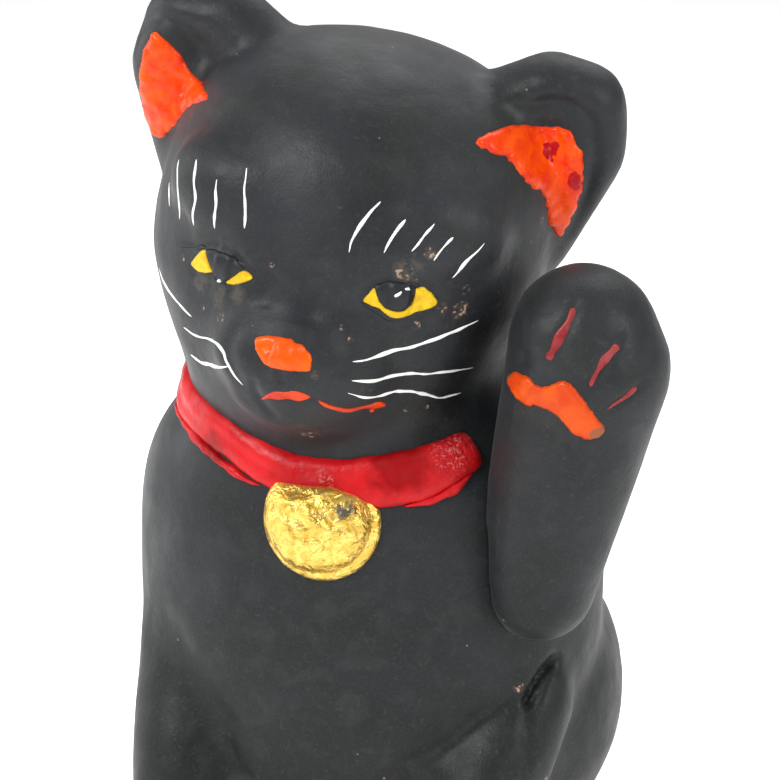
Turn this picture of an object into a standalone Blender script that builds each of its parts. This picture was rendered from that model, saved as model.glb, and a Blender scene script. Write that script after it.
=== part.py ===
"""A beckoning cat figurine of hollow pressed clay.

The body is two moulded halves, front and back, closed below by a slab cut to its outline. The
ears, the raised foreleg, the tail, the collar and the bell are separate pieces, luted on. The
painted eyes, nose, mouth, whiskers, brows and pads are films of thick enamel, each a thin solid
lying on the clay.

The cat faces -Y. Its own left, the raised foreleg's side, is +X. The origin is the middle of the
slab's underside.
"""

from math import cos, radians, sin

import bmesh
import bpy
from mathutils import Matrix, Vector
from mathutils.bvhtree import BVHTree

MM = 0.001

# Driving dimensions, in millimetres.
BASE_THICK = 4.0
WALL = 4.5
GAP = 0.35
SEAM_Y = 4.0

# The head's own frame: its middle, its tilt towards the raised paw and its turn to the other side.
HEAD_AT = (-3.0, -3.0, 136.0)
HEAD_TILT = 11
HEAD_TURN = -3
# The right ear leans out further, and the left one stands taller at its outer corner.
RIGHT_EAR_LEAN = 1.8
LEFT_EAR_RISE = 1.8

# The collar's spine, each (degrees round the neck from the front, height, width). Its two ends stop
# short of the raised foreleg.
COLLAR = (
    (43, 98.6, 6.8),
    (36, 97.2, 8),
    (25, 95.1, 9),
    (12, 94, 9.4),
    (0, 93.6, 8.6),
    (-14, 94.3, 7.8),
    (-25, 96, 7.6),
    (-40, 99.2, 7.5),
    (-55, 101.3, 7.5),
    (-90, 104, 8),
    (-135, 106, 8.5),
    (-180, 107, 8.5),
    (-225, 106, 8.5),
    (-270, 104.5, 8.5),
    (-281, 103.5, 8.5),
)
COLLAR_RISE = 1.8
NECK_X = -2
NECK_RADIUS = 35.0

BELL_AT = (-4.8, -34.0, 86.5)
BELL_RADII = (11.2, 11.0, 7.0)
BELL_TOP = 93.0
VENT_RADIUS = 5.0
VENT_AT = (0, 22)

# Distances beyond every part, sideways and upwards.
FAR = 90.0
OVERHEAD = 220.0

# Painted films. FACE_RADIUS turns a distance round the face into an angle.
FACE_RADIUS = 36.0
FILM_LIFT = 0.35
FILM_THICK = 0.4
FILM_LEAST = 0.5
EDGE_LOSS = 0.4
LINING_LIFT = 0.75
BROW_WIDE = 0.7
WHISKER_WIDE = 0.8

BROWS = {
    "right": (
        ((-36.5, 6), (-34.5, 0.5)),
        ((-30, 11), (-28.5, 8), (-29, 0)),
        ((-25, 12.5), (-23.5, 7), (-24.5, 0)),
        ((-20, 11), (-19.5, 1.5)),
        ((-16, 14), (-14, 9.5), (-13.5, 3.5)),
    ),
    "left": (
        ((9.5, 14), (6.5, 9), (5.5, 4)),
        ((14.5, 12), (12.5, 8.5), (11, 5)),
        ((19, 12), (16.5, 9), (15.5, 6.5)),
        ((21.5, 10), (19.5, 6)),
        ((27.5, 9.5), (25, 6.5), (23.5, 2.5)),
    ),
}
WHISKERS = {
    "right": (
        ((-35, -11), (-32.5, -14), (-27, -16), (-20.5, -18.5)),
        ((-28, -20), (-22, -20), (-16, -19), (-12, -20.5), (-7.5, -23.5)),
        ((-24, -24.5), (-19, -24.5), (-14, -22.8)),
    ),
    "left": (
        ((9.5, -14.5), (16.5, -12.5), (22.5, -10.5), (32, -6.5)),
        ((10, -17.5), (13, -18), (18, -16.5), (26.5, -17), (35, -16.5)),
        ((9.5, -20.5), (12.5, -21.5), (19.5, -20), (31, -22.5), (34.5, -22)),
    ),
}
EYES = {
    "right": ((-24, -6.5, 0.6), (-21, -5.2, 3.2), (-17, -5.2, 3.8), (-13.5, -5.4, 2.8), (-10.5, -4.7, 0.6)),
    "left": ((9, -4.4, 0.6), (12, -3.6, 3.6), (15.5, -3, 5), (19, -2.4, 4), (22.5, -2, 0.6)),
}
PUPILS = {
    "right": ((-20, -4.6, 1.2), (-16.5, -4.4, 3.2), (-13, -4.8, 1.2)),
    "left": ((11.8, -2, 1.2), (15, -2, 4.4), (18.2, -1.6, 1.2)),
}
NOSE = ((-6, -14.8, 0.8), (-4, -15.2, 3.6), (-1, -15.2, 5.2), (2, -15.6, 4.4), (3.6, -16.4, 1))
MOUTH = ((-4, -25, 0.8), (0, -23.5, 1.5), (4, -22.3, 1), (7, -24, 1.1), (11, -24, 1.2), (17, -23, 0.9))
EAR_LININGS = {
    "right": ((-40.5, 7, 1.2), (-41, 10, 4), (-39.5, 15, 9), (-38.5, 20, 13), (-40, 24.5, 9), (-41, 27.5, 3)),
    "left": ((38.2, 8.5, 1), (37.6, 11.5, 3), (36.5, 15, 7), (34.5, 20, 11), (32.5, 23.5, 13), (32, 26.5, 8)),
}
PAW_PAD = ((30, 115.5, 2.5), (34, 115, 5), (39, 114.5, 6.5), (43, 112, 5.5), (46.5, 109, 2))
TOE_STROKES = (
    ((41, 130, 0.9), (39, 126, 1.3), (37, 121, 1)),
    ((49, 124.5, 0.8), (46.5, 121, 1.4), (44.5, 117, 1)),
    ((52.5, 116.5, 0.8), (50, 115, 1.2), (47.5, 113, 0.8)),
)

# Each paint or clay: its colour, its roughness and how metallic it is.
PAINTS = {
    "black": ((0.045, 0.047, 0.052), 0.5, 0),
    "red": ((0.62, 0.022, 0.035), 0.25, 0),
    "dark_red": ((0.4, 0.02, 0.025), 0.35, 0),
    "orange": ((0.83, 0.1, 0.02), 0.25, 0),
    "yellow": ((0.9, 0.55, 0.02), 0.3, 0),
    "white": ((0.85, 0.82, 0.75), 0.6, 0),
    "pupil_black": ((0.02, 0.02, 0.022), 0.3, 0),
    "gold": ((0.8, 0.55, 0.18), 0.35, 0.9),
}
WORN = (
    ("pupil", "pupil_black"),
    ("brow", "white"),
    ("whisker", "white"),
    ("eye", "yellow"),
    ("nose", "orange"),
    ("mouth", "orange"),
    ("ear_lining", "orange"),
    ("paw_pad", "orange"),
    ("toe", "dark_red"),
    ("collar", "red"),
    ("bell", "gold"),
    ("", "black"),
)

# How fine the surfaces are: the squares they are fused from, and the share of their faces that is kept.
SKIN_SHARE = 0.06
CORE_SHARE = 0.02
LIMB_SHARE = 0.14
VOXEL = 1.6
EAR_VOXEL = 1.2
RING = 48
STEPS = 4


def head_frame():
    """The matrix that takes a place on an upright, forward-looking head to where it is."""
    turn = Matrix.Rotation(radians(HEAD_TURN), 4, "Z") @ Matrix.Rotation(radians(HEAD_TILT), 4, "Y")
    return Matrix.Translation(HEAD_AT) @ turn


def between(rows, steps=STEPS):
    """The rows with more between them, on a Catmull-Rom curve through them all."""
    ends = [rows[0]] + list(rows) + [rows[-1]]
    more = []
    for a, b, c, d in zip(ends, ends[1:], ends[2:], ends[3:]):
        for step in range(steps):
            t = step / steps
            more.append(
                [
                    q + t * (r - p + t * (2 * p - 5 * q + 4 * r - s + t * (3 * (q - r) + s - p))) / 2
                    for p, q, r, s in zip(a, b, c, d)
                ]
            )
    return more + [list(rows[-1])]


def loft(bm, sections, frame, grow):
    """Adds a closed tube through oval sections, each (z, x, y, x radius, y radius)."""
    rings = []
    for z, x, y, rx, ry in between(sections):
        size = Matrix.Diagonal((rx + grow, ry + grow, 1, 1))
        place = frame @ Matrix.Translation((x, y, z)) @ size
        rings.append(bmesh.ops.create_circle(bm, segments=RING, radius=1, matrix=place)["verts"])
    for low, high in zip(rings, rings[1:]):
        for i in range(RING):
            bm.faces.new((low[i - 1], low[i], high[i], high[i - 1]))
    bm.faces.new(reversed(rings[0]))
    bm.faces.new(rings[-1])


def ellipsoid(bm, centre, radii, frame=Matrix(), grow=0.0):
    """Adds an ellipsoid, its axes along the frame's."""
    size = Matrix.Diagonal([r + grow for r in radii] + [1])
    place = frame @ Matrix.Translation(centre) @ size
    bmesh.ops.create_icosphere(bm, subdivisions=4, radius=1, matrix=place)


def hull(bm, balls, frame=Matrix(), grow=0.0):
    """Adds the convex hull of several balls, each (x, y, z, radius)."""
    one = bmesh.new()
    for x, y, z, r in balls:
        place = frame @ Matrix.Translation((x, y, z))
        bmesh.ops.create_icosphere(one, subdivisions=3, radius=r + grow, matrix=place)
    bmesh.ops.delete(one, geom=one.edges[:], context="EDGES_FACES")
    made = bmesh.ops.convex_hull(one, input=one.verts)
    inner = {g for g in made["geom_interior"] + made["geom_unused"] if isinstance(g, bmesh.types.BMVert)}
    bmesh.ops.delete(one, geom=list(inner), context="VERTS")
    bmesh.ops.recalc_face_normals(one, faces=one.faces)
    mesh = bpy.data.meshes.new("hull")
    one.to_mesh(mesh)
    one.free()
    bm.from_mesh(mesh)
    bpy.data.meshes.remove(mesh)


def body_masses(bm, grow=0.0):
    """The torso, haunches, planted foreleg and hind paws."""
    torso = (
        (-8, 0, 2, 42, 38),
        (8, 0, 2, 43, 39),
        (22, 0, 2, 43, 38),
        (38, 0, 1, 43, 38),
        (54, -0.5, 0, 46, 38),
        (70, -0.5, 0, 46, 37),
        (84, -1, 0, 44.8, 36),
        (95, -1, 0, 40.8, 33),
        (103, -1.5, -1, 34, 30),
        (112, -1.5, -1, 31, 28),
        (120, -2, -2, 30, 27),
    )
    loft(bm, torso, Matrix(), grow)
    ellipsoid(bm, (28, 11, 35), (21.5, 29, 30), grow=grow)  # left haunch
    ellipsoid(bm, (-27, 11, 35), (17.5, 29, 30), grow=grow)  # right haunch
    hull(bm, [(33, -20, 46, 9), (25, -30, 32, 10), (22, -36, 15, 9)], grow=grow)  # left knee
    hull(bm, [(39, -26, 7, 9), (38, -8, 8, 10)], grow=grow)  # left hind foot's outer side
    hull(bm, [(-36.5, -8, 58, 9), (-34.5, -22, 34, 10.5), (-33.5, -30, 12, 10.5)], grow=grow)  # right foreleg
    hull(bm, [(-33.5, -32, 6, 9.5), (-33, -38, 5, 8)], grow=grow)  # right forepaw
    hull(bm, [(21, -34, 6, 9), (21, -41, 4, 7.5)], grow=grow)  # left hind paw
    hull(bm, [(-17, -24, 34, 8), (-16, -34, 6, 8.5), (-15, -40, 4, 7)], grow=grow)  # right hind leg


def head_masses(bm, frame, grow=0.0):
    """The skull, muzzle and brow, in the head's own frame."""
    skull = (
        (-42, 1, 0, 24, 26),
        (-36, 1, -1, 26.5, 28.5),
        (-30, 1, -2, 28.7, 31),
        (-22, 0.5, -2, 32.6, 33.5),
        (-12, 0, -1.5, 36.8, 35),
        (-2, 0, -1, 37.8, 36),
        (8, 0.3, 0, 37.4, 36),
        (17, 0.5, 0, 35.2, 33.5),
        (25, 0, 0.5, 30.5, 28),
        (31, 0, 1, 22, 20),
        (34.5, 0, 1, 12, 11),
        (35.5, 0, 1, 4, 4),
    )
    loft(bm, skull, frame, grow)
    for centre, radii in (
        ((0, -29, -18), (18, 13.5, 13)),  # muzzle
        ((0, -28, -27), (13, 9, 7)),  # chin
        ((0, -28, -3), (9, 10, 17)),  # bridge of the nose
        ((-14, -22, 8), (18, 13, 12)),  # brows
        ((14, -22, 8), (18, 13, 12)),
    ):
        ellipsoid(bm, centre, radii, frame=frame, grow=grow)


def ear_masses(bm, side):
    """One ear, a thick rounded hood. side is 1 for the cat's left ear, -1 for its right."""
    lean, rise = (0, LEFT_EAR_RISE) if side > 0 else (RIGHT_EAR_LEAN, 0)
    balls = [
        (21, 0, 25, 8.5),
        (31, 1, 31 + rise / 2, 8),
        (37.5 + lean, 2, 29 + rise, 8.3),
        (38.8 + lean, 3, 21 + rise, 8.5),
        (31.5, 4, 3, 9),
    ]
    hull(bm, [(side * x, y, z, r) for x, y, z, r in balls], head_frame())


def fused(name, bm, voxel=VOXEL, smoothing=5, ratio=1.0):
    """One closed skin round everything in bm, smoothed, thinned to a share of its faces, in metres."""
    obj = solid(name, bm)
    remesh = obj.modifiers.new("Fuse", "REMESH")
    remesh.mode = "VOXEL"
    remesh.voxel_size = voxel * MM
    smooth = obj.modifiers.new("Soften", "SMOOTH")
    smooth.iterations = smoothing
    if ratio < 1:
        thin = obj.modifiers.new("Thin", "DECIMATE")
        thin.ratio = ratio
    settle(obj)
    return obj


def copied(obj, name, by=0.0):
    """A copy of obj, its surface moved outwards by so many millimetres."""
    twin = bpy.data.objects.new(name, obj.data.copy())
    bpy.context.scene.collection.objects.link(twin)
    if by:
        swell = twin.modifiers.new("Swell", "DISPLACE")
        swell.mid_level = 0
        swell.strength = by * MM
        settle(twin)
    return twin


def settle(obj):
    """Makes obj's modifiers final, so that it is a plain mesh."""
    graph = bpy.context.evaluated_depsgraph_get()
    done = bpy.data.meshes.new_from_object(obj.evaluated_get(graph))
    obj.modifiers.clear()
    obj.data = done


def drop(*objs):
    """Deletes helpers that have done their work."""
    for obj in objs:
        bpy.data.objects.remove(obj)


def combine(obj, other, operation):
    """Cuts obj with other, joins them or keeps what they share. other is left as it was."""
    boolean = obj.modifiers.new("Cut", "BOOLEAN")
    boolean.operation = operation
    boolean.solver = "EXACT"
    boolean.object = other
    obj.modifiers.new("Triangles", "TRIANGULATE")
    settle(obj)


def block(name, low, high):
    """A box between two corners, given in millimetres."""
    middle = [(a + b) / 2 for a, b in zip(low, high)]
    size = Matrix.Diagonal([b - a for a, b in zip(low, high)] + [1])
    bm = bmesh.new()
    bmesh.ops.create_cube(bm, size=1, matrix=Matrix.Translation(middle) @ size)
    return solid(name, bm)


def solid(name, bm):
    """The bmesh, in millimetres, as an object in metres."""
    bmesh.ops.triangulate(bm, faces=bm.faces)
    bmesh.ops.scale(bm, vec=(MM, MM, MM), verts=bm.verts)
    mesh = bpy.data.meshes.new(name)
    bm.to_mesh(mesh)
    bm.free()
    obj = bpy.data.objects.new(name, mesh)
    bpy.context.scene.collection.objects.link(obj)
    return obj


def make_skin(name, grow, ratio):
    """The surface of the body and head, without ears and raised foreleg, moved outwards by grow."""
    bm = bmesh.new()
    body_masses(bm, grow)
    head_masses(bm, head_frame(), grow)
    return fused(name, bm, smoothing=8, ratio=ratio)


def less(obj, *others, by=GAP):
    """Cuts from obj the space that each of the others takes, with a gap round it."""
    for other in others:
        grown = copied(other, "grown", by)
        combine(obj, grown, "DIFFERENCE")
        drop(grown)


def make_shells(skin):
    """The front and back halves of the hollow body, open below."""
    core = make_skin("core", -WALL, CORE_SHARE)
    shell = copied(skin, "shell")
    combine(shell, core, "DIFFERENCE")
    low = BASE_THICK + GAP
    halves = []
    for name, near, far in (
        ("front_shell", -FAR, SEAM_Y - GAP / 2),
        ("back_shell", SEAM_Y + GAP / 2, FAR),
    ):
        half = copied(shell, name)
        room = block("room", (-FAR, near, low), (FAR, far, OVERHEAD))
        combine(half, room, "INTERSECT")
        drop(room)
        halves.append(half)
    drop(core, shell)
    return halves


def make_ear(name, side):
    """One ear, cupped in front, its root still inside the head."""
    bm = bmesh.new()
    ear_masses(bm, side)
    ear = solid(name, bm)
    bm = bmesh.new()
    cup = ((26, -9, 22, 5.5), (35, -9, 27, 5), (37, -9, 20, 4.5), (35, -9, 11, 4))
    hull(bm, [(side * x, y, z, r) for x, y, z, r in cup], head_frame())
    scoop = solid("scoop", bm)
    combine(ear, scoop, "DIFFERENCE")
    drop(scoop)
    bm = bmesh.new()
    bm.from_mesh(ear.data)
    drop(ear)
    bmesh.ops.scale(bm, vec=(1 / MM, 1 / MM, 1 / MM), verts=bm.verts)
    return fused(name, bm, voxel=EAR_VOXEL, smoothing=4, ratio=LIMB_SHARE)


def make_raised_foreleg():
    """The raised left foreleg, from its elbow to the paw, its inner side still in the shoulder and cheek."""
    balls = (
        (35, -26, 72, 10.5),
        (36.5, -25, 88, 12.6),
        (42, -26, 106, 13.2),
        (44.2, -29, 116.5, 14.2),
        (42.3, -29, 122, 13.8),
    )
    bm = bmesh.new()
    hull(bm, balls)
    return fused("raised_foreleg", bm, smoothing=3, ratio=LIMB_SHARE)


def make_tail(skin):
    """The tail, a tapered roll curling round the rump from the middle of the back."""
    balls = [(-2, 40, 15, 6.5), (12, 41, 12, 6.5), (24, 37, 13, 6), (33, 30, 18, 5.5), (37, 24, 25, 5)]
    bm = bmesh.new()
    for pair in zip(balls, balls[1:]):
        hull(bm, pair)
    tail = fused("tail", bm, smoothing=3, ratio=LIMB_SHARE)
    less(tail, skin)
    return tail


def make_bell(skin, collar):
    """The bell, a round boss on the chest, its straight top lapping over the collar."""
    bm = bmesh.new()
    flat = Matrix.Rotation(radians(90), 4, "X") @ Matrix.Diagonal((*BELL_RADII, 1))
    place = Matrix.Translation(BELL_AT) @ flat
    bmesh.ops.create_uvsphere(bm, u_segments=28, v_segments=14, radius=1, matrix=place)
    bell = solid("bell", bm)
    above = block("above", (-FAR, -FAR, BELL_TOP), (FAR, FAR, OVERHEAD))
    combine(bell, above, "DIFFERENCE")
    drop(above)
    less(bell, skin, collar)
    return bell


def make_base(skin):
    """The slab that closes the body below, with the hole that lets the kiln's heat out."""
    base = copied(skin, "base_plate")
    slab = block("slab", (-FAR, -FAR, 0), (FAR, FAR, BASE_THICK))
    combine(base, slab, "INTERSECT")
    bm = bmesh.new()
    place = Matrix.Translation((*VENT_AT, 0))
    depth = 3 * BASE_THICK
    bmesh.ops.create_cone(
        bm, cap_ends=True, segments=24, radius1=VENT_RADIUS, radius2=VENT_RADIUS, depth=depth, matrix=place
    )
    vent = solid("vent", bm)
    combine(base, vent, "DIFFERENCE")
    drop(slab, vent)
    return base


def clay_tree(*pieces):
    """A search tree over the pieces' surfaces, in millimetres."""
    points, faces = [], []
    for piece in pieces:
        start = len(points)
        points += [v.co / MM for v in piece.data.vertices]
        faces += [[start + i for i in face.vertices] for face in piece.data.polygons]
    return BVHTree.FromPolygons(points, faces)


def on_face(s, w):
    """Where a ray starts, and which way it goes, for a place s round the face and w up it."""
    angle = s / FACE_RADIUS
    out = Vector((sin(angle), -cos(angle), 0))
    frame = head_frame()
    return frame @ (FAR * out + Vector((0, 0, w))), frame.to_3x3() @ -out


def on_neck(s, z):
    """The same, for a place s round the neck, as a length, and z up."""
    angle = s / NECK_RADIUS
    out = Vector((sin(angle), -cos(angle), 0))
    return FAR * out + Vector((NECK_X, 0, z)), -out


def on_ear(u, w):
    """The same, for a place seen straight from the front of the head."""
    frame = head_frame()
    return frame @ Vector((u, -FAR, w)), frame.to_3x3() @ Vector((0, 1, 0))


def on_paw(x, z):
    """The same, for a place seen straight from the front of the figurine."""
    return Vector((x, -FAR, z)), Vector((0, 1, 0))


def film(name, tree, aim, spine, across=1, lift=FILM_LIFT, thick=FILM_THICK, steps=STEPS):
    """A painted film on the clay, along a spine of (s, w, width), so many spans wide."""
    rows = between(spine, steps)
    low, high = [], []
    for i, (s, w, width) in enumerate(rows):
        before, after = rows[max(i - 1, 0)], rows[min(i + 1, len(rows) - 1)]
        along = Vector((after[0] - before[0], after[1] - before[1])).normalized()
        side = Vector((-along.y, along.x)) * max(width, FILM_LEAST) / 2
        for j in range(across + 1):
            share = 2 * j / across - 1
            start, way = aim(s + share * side.x, w + share * side.y)
            place, normal, _, _ = tree.ray_cast(start, way)
            crown = thick * (1 - EDGE_LOSS * share**2) if across > 1 else thick
            low.append(place + lift * normal)
            high.append(place + (lift + crown) * normal)
    bm = bmesh.new()
    wide = across + 1
    below, above = ([bm.verts.new(p) for p in side] for side in (low, high))
    for i in range(len(rows) - 1):
        for j in range(across):
            a = i * wide + j
            corners = (a, a + 1, a + wide + 1, a + wide)
            bm.faces.new([below[c] for c in corners])
            bm.faces.new([above[c] for c in reversed(corners)])
    rim = [e for e in bm.edges if len(e.link_faces) == 1 and e.verts[0] in set(below)]
    for edge in rim:
        a, b = (below.index(v) for v in edge.verts)
        bm.faces.new((below[a], below[b], above[b], above[a]))
    bmesh.ops.recalc_face_normals(bm, faces=bm.faces)
    return solid(name, bm)


def make_collar(skin):
    """The collar, a raised band round the neck whose ends meet the raised foreleg."""
    spine = [(radians(degrees) * NECK_RADIUS, z, width) for degrees, z, width in COLLAR]
    return film("collar", clay_tree(skin), on_neck, spine, across=4, lift=GAP, thick=COLLAR_RISE, steps=5)


def make_films(skin, ears, arm):
    """Every painted stroke and patch that stands proud of the black."""
    head = clay_tree(skin, *ears)
    paw = clay_tree(arm)
    for side, strokes in BROWS.items():
        for i, stroke in enumerate(strokes, 1):
            film(f"brow_{side}_{i}", head, on_face, [(s, w, BROW_WIDE) for s, w in stroke])
    for side, strokes in WHISKERS.items():
        for i, stroke in enumerate(strokes, 1):
            film(f"whisker_{side}_{i}", head, on_face, [(s, w, WHISKER_WIDE) for s, w in stroke])
    for side, spine in EYES.items():
        film(f"eye_{side}", head, on_face, spine, across=3)
    for side, spine in PUPILS.items():
        film(f"pupil_{side}", head, on_face, spine, across=3, lift=2 * FILM_LIFT + FILM_THICK)
    film("nose", head, on_face, NOSE, across=4)
    film("mouth", head, on_face, MOUTH, across=2)
    for side, spine in EAR_LININGS.items():
        film(f"ear_lining_{side}", head, on_ear, spine, across=6, lift=LINING_LIFT)
    film("paw_pad", paw, on_paw, PAW_PAD, across=5)
    for i, stroke in enumerate(TOE_STROKES, 1):
        film(f"toe_stroke_{i}", paw, on_paw, stroke, across=2)


def dress():
    """Gives every piece its own material and shades it smooth."""
    for obj in bpy.data.objects:
        paint = next(paint for start, paint in WORN if obj.name.startswith(start))
        colour, roughness, metallic = PAINTS[paint]
        material = bpy.data.materials.new(obj.name)
        material.use_nodes = True
        shader = material.node_tree.nodes["Principled BSDF"]
        shader.inputs["Base Color"].default_value = (*colour, 1)
        shader.inputs["Roughness"].default_value = roughness
        shader.inputs["Metallic"].default_value = metallic
        obj.data.materials.clear()
        obj.data.materials.append(material)
        obj.data.shade_smooth()


def main():
    for obj in list(bpy.data.objects):
        bpy.data.objects.remove(obj)
    skin = make_skin("skin", 0, SKIN_SHARE)
    make_shells(skin)
    ears = [make_ear("ear_right", -1), make_ear("ear_left", 1)]
    arm = make_raised_foreleg()
    make_tail(skin)
    collar = make_collar(skin)
    make_bell(skin, collar)
    make_base(skin)
    make_films(skin, ears, arm)
    for piece in (*ears, arm):
        less(piece, skin)
    drop(skin)
    dress()


main()
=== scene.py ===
"""The looks of a hollow clay beckoning cat: a smooth matt black skin, creases and thick enamel paint.

The cat faces -Y. Its own left, the raised foreleg's side, is +X. Lengths are millimetres, and they
become metres when a mesh is made.
"""

from math import cos, pi, radians, sin, tau

import bmesh
import bpy
import numpy as np
from mathutils import Matrix, Vector, noise
from mathutils.bvhtree import BVHTree
from mathutils.geometry import delaunay_2d_cdt


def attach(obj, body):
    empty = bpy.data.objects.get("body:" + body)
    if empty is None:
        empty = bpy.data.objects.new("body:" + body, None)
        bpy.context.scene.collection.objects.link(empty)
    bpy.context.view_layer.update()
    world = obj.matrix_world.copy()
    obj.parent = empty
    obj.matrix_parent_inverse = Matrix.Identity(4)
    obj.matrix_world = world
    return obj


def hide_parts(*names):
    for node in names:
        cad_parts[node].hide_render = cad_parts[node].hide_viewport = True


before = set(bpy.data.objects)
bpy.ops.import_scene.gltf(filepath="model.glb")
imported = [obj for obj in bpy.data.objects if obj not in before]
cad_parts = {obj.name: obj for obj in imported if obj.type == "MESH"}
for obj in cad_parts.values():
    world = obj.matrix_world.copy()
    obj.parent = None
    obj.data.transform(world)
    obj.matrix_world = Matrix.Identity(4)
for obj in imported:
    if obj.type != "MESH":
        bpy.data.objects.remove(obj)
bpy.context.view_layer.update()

MM = 0.001
# Without a seed of its own, the vector noise starts from the clock and differs from run to run.
NOISE_SEED = 1

# The head's own frame, as in the CAD: its middle, and its tilt and turn in degrees.
HEAD_AT = (-3.0, -3.0, 136.0)
HEAD_TILT = 11
HEAD_TURN = -3
# A place round the face or the neck is a length along a circle of this radius.
FACE_RADIUS = 36.0
NECK_X = -2
NECK_RADIUS = 35.0
# How far out a ray starts that looks for the clay.
FAR = 90.0

# How a skin is made from CAD solids: nearly equal points are welded, each solid swells so that the
# solids overlap, they are fused in squares as wide as the voxel, smoothed, and shrunk again.
SKIN_NODES = ("front_shell", "back_shell", "ear_left", "ear_right")
WELD = 0.01
SWELL = 0.35
SKIN_VOXEL = 1.15
ARM_VOXEL = 0.65
SKIN_SMOOTHING = 22
TAIL_SMOOTHING = 16
SKIN_SHRINK = 0.25
ARM_SHRINK = 0.4
TAIL_SHRINK = 0.3
UNEVENNESS = 0.18
# The shells' lower edges reach below the ground before the skin is cut flat above the base.
BASE_TOP = 4.0
BELOW_GROUND = -6
SKIN_BOTTOM = 3.9

# The room inside, above the vent: (radius, height).
VENT_AT = (0, 22)
ROOM = ((8, 3.9), (17, 6), (21, 14), (20, 34), (12, 48), (3, 52))
ROOM_SIDES = 32

# Grooves on the face, (s round it, w up it): the path, its depth and its half width.
FACE_MARKS = (
    (((-29, -5), (-25, -3.6), (-21.5, -2.4), (-17.5, -1.4), (-13.5, -2.6), (-10, -4.2)), 0.55, 0.7),
    (((8, -3.6), (10.5, -1), (13.5, 0.4), (17, 0.8), (20.5, -0.2), (24, -2.2)), 0.55, 0.7),
    (((-26, -8), (-21, -9.2), (-16, -9), (-11.5, -6.6)), 0.25, 0.8),
    (((9, -5.2), (12.5, -6.6), (16, -7.8), (20, -6.6), (24, -4)), 0.3, 0.8),
    (((-0.5, 2), (0.4, -2.5), (0.8, -6.5), (0.6, -10.5)), 0.9, 3.4),
    (((-6.5, -2), (-7.5, -6), (-7, -9.5)), 0.5, 2.0),
    (((-9, -11), (-11.5, -17), (-9.5, -22), (-6.5, -25)), 0.5, 2.2),
    (((-6, -21), (-4.5, -26), (-1, -29.5)), 0.45, 1.2),
    (((6, -9), (8.5, -13), (8, -18)), 0.45, 2.0),
    (((-4.5, -25.2), (0, -23.4), (4, -22.6), (8, -24.3), (12, -24.2), (18, -23.6)), 0.5, 0.8),
    (((-1.5, -18.4), (-1, -21)), 0.5, 0.9),
)
# Soft swellings on the face, given the same way.
FACE_SWELLS = (
    (((-19, -4.6), (-15, -4.8)), 0.8, 3.2),
    (((13.5, -2.6), (17.5, -2.2)), 0.8, 3.4),
    (((-3.5, -15.6), (1, -15.8)), 0.8, 2.6),
    (((-13, -26), (-7, -29), (3, -29.5), (11, -27)), 0.5, 3.0),
    (((-27, 1.5), (-19, 3), (-12, 1)), 0.45, 2.6),
    (((9, 4.4), (16, 5.6), (24, 3)), 0.45, 2.6),
)
# Creases of the body seen from the front, (x, z).
BODY_MARKS = (
    (((-43, 61), (-36, 58.5), (-30, 52), (-25.5, 44), (-21, 40.5)), 0.7, 3.2),
    (((-25, 40), (-23, 34), (-20.5, 30), (-26, 12)), 1.0, 2.0),
    (((34.5, 51.5), (30.5, 50), (25.5, 47), (21, 43.5), (17, 40.5), (11, 38), (5, 36.5)), 0.9, 2.0),
    (((38.5, 56), (36, 53.6), (34.3, 51), (33, 48.2)), 3.2, 0.9),
    (((33, 48.5), (33.6, 44), (33.5, 38), (31, 20)), 0.5, 1.3),
    (((15, 38), (9.5, 26), (8.5, 8)), 0.9, 2.2),
    (((-12, 37), (-7.5, 26), (-6.5, 8)), 0.8, 2.0),
)
# The hollow of each ear round its lining, (u, w) from the front of the head.
EAR_MARKS = (
    (((24, 28.5), (29, 30.5), (34.5, 31.8), (39.3, 30), (41.6, 25), (42.4, 18), (41.6, 11),
      (39.5, 5)), 1.3, 2.0),
    (((-31, 23.5), (-35, 26.5), (-39, 29.5), (-44, 30.5), (-47, 27), (-47.6, 20)), 1.0, 2.0),
)
# Between the toes of the paws on the ground, x and then z.
TOE_MARKS = (-39.5, -34.5, -18, -13, 18.5, 23.5)
TOE_HEIGHTS = (10.5, 7, 4.2)
# Grooves of the raised paw, (x, z) from the front.
PAW_MARKS = (
    (((42, 132.5), (39.8, 127.5), (37, 121.5)), 0.55, 1.0),
    (((50.5, 126), (47.2, 121.6), (44.6, 117)), 0.5, 1.0),
    (((54, 117.5), (50.5, 115), (47.2, 112.6)), 0.45, 1.0),
    (((31.5, 130), (31, 124), (32, 118)), 0.8, 2.4),
    (((30, 109.5), (36, 109), (43, 104.5)), 0.3, 1.6),
)
PAW_SWELLS = (
    (((31, 114.5), (38, 115), (43.5, 112), (46, 109)), 0.5, 3.0),
    (((35, 129), (34, 122)), 0.4, 3.0),
    (((45.5, 126), (42, 119.5)), 0.4, 3.0),
    (((51.5, 119.5), (48.5, 115.5)), 0.35, 2.6),
)

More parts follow.
